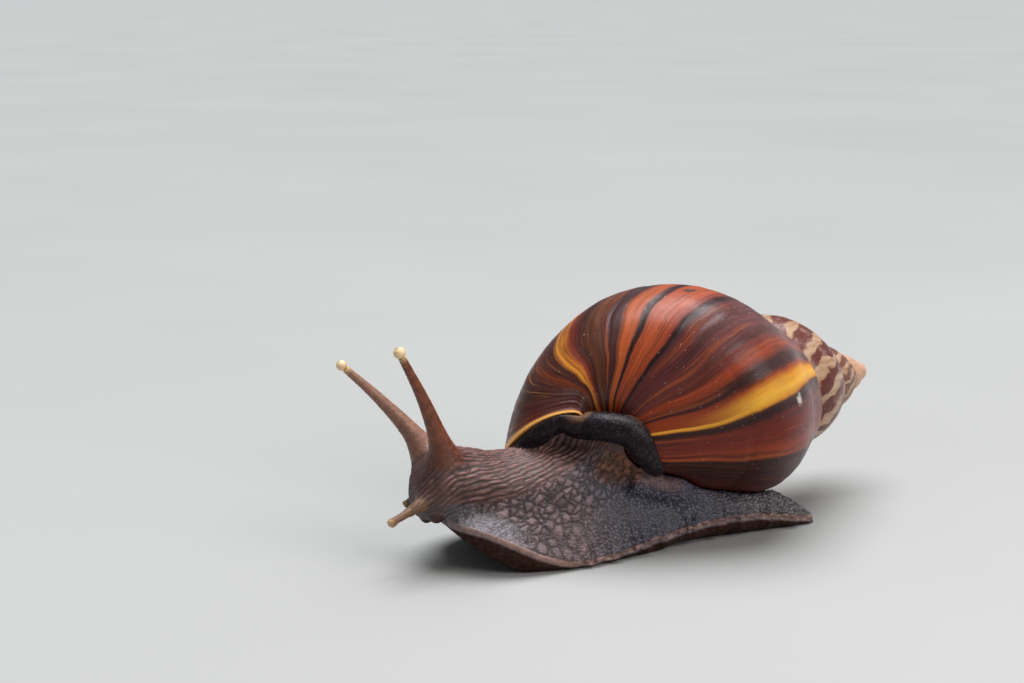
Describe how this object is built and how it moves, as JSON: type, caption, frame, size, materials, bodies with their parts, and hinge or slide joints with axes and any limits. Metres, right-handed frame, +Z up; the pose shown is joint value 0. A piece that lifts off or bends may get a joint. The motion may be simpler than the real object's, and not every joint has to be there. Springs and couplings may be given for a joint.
{
  "type": "giant African land snail, crawling",
  "caption": "Still life-size land snail at a crawl: tall pointed spiral shell over a long tapering foot, stretched neck, four feelers with eyes on the upper pair.",
  "frame": {"origin": "on the floor, under the middle of the whole snail", "axes": "-X is the way the snail heads, so +X runs toward the tip of the shell and the tail; +Y is the snail's right side; +Z is up"},
  "size_m": [0.0972, 0.0336, 0.0389],
  "materials": {
    "shell": "gloss",
    "skin": "satin",
    "collar": "satin",
    "eye": "gloss"
  },
  "bodies": {
    "root": {"shell": "shell", "mantle_collar": "collar", "foot_front": "skin", "foot_middle": "skin", "tail": "skin", "neck": "skin", "mantle": "skin", "head": "skin", "upper_feeler_left": "skin", "upper_feeler_right": "skin", "eye_left": "eye", "eye_right": "eye", "lower_feeler_left": "skin", "lower_feeler_right": "skin", "mouth_lobe_left": "skin", "mouth_lobe_right": "skin"}
  },
  "joints": []
}
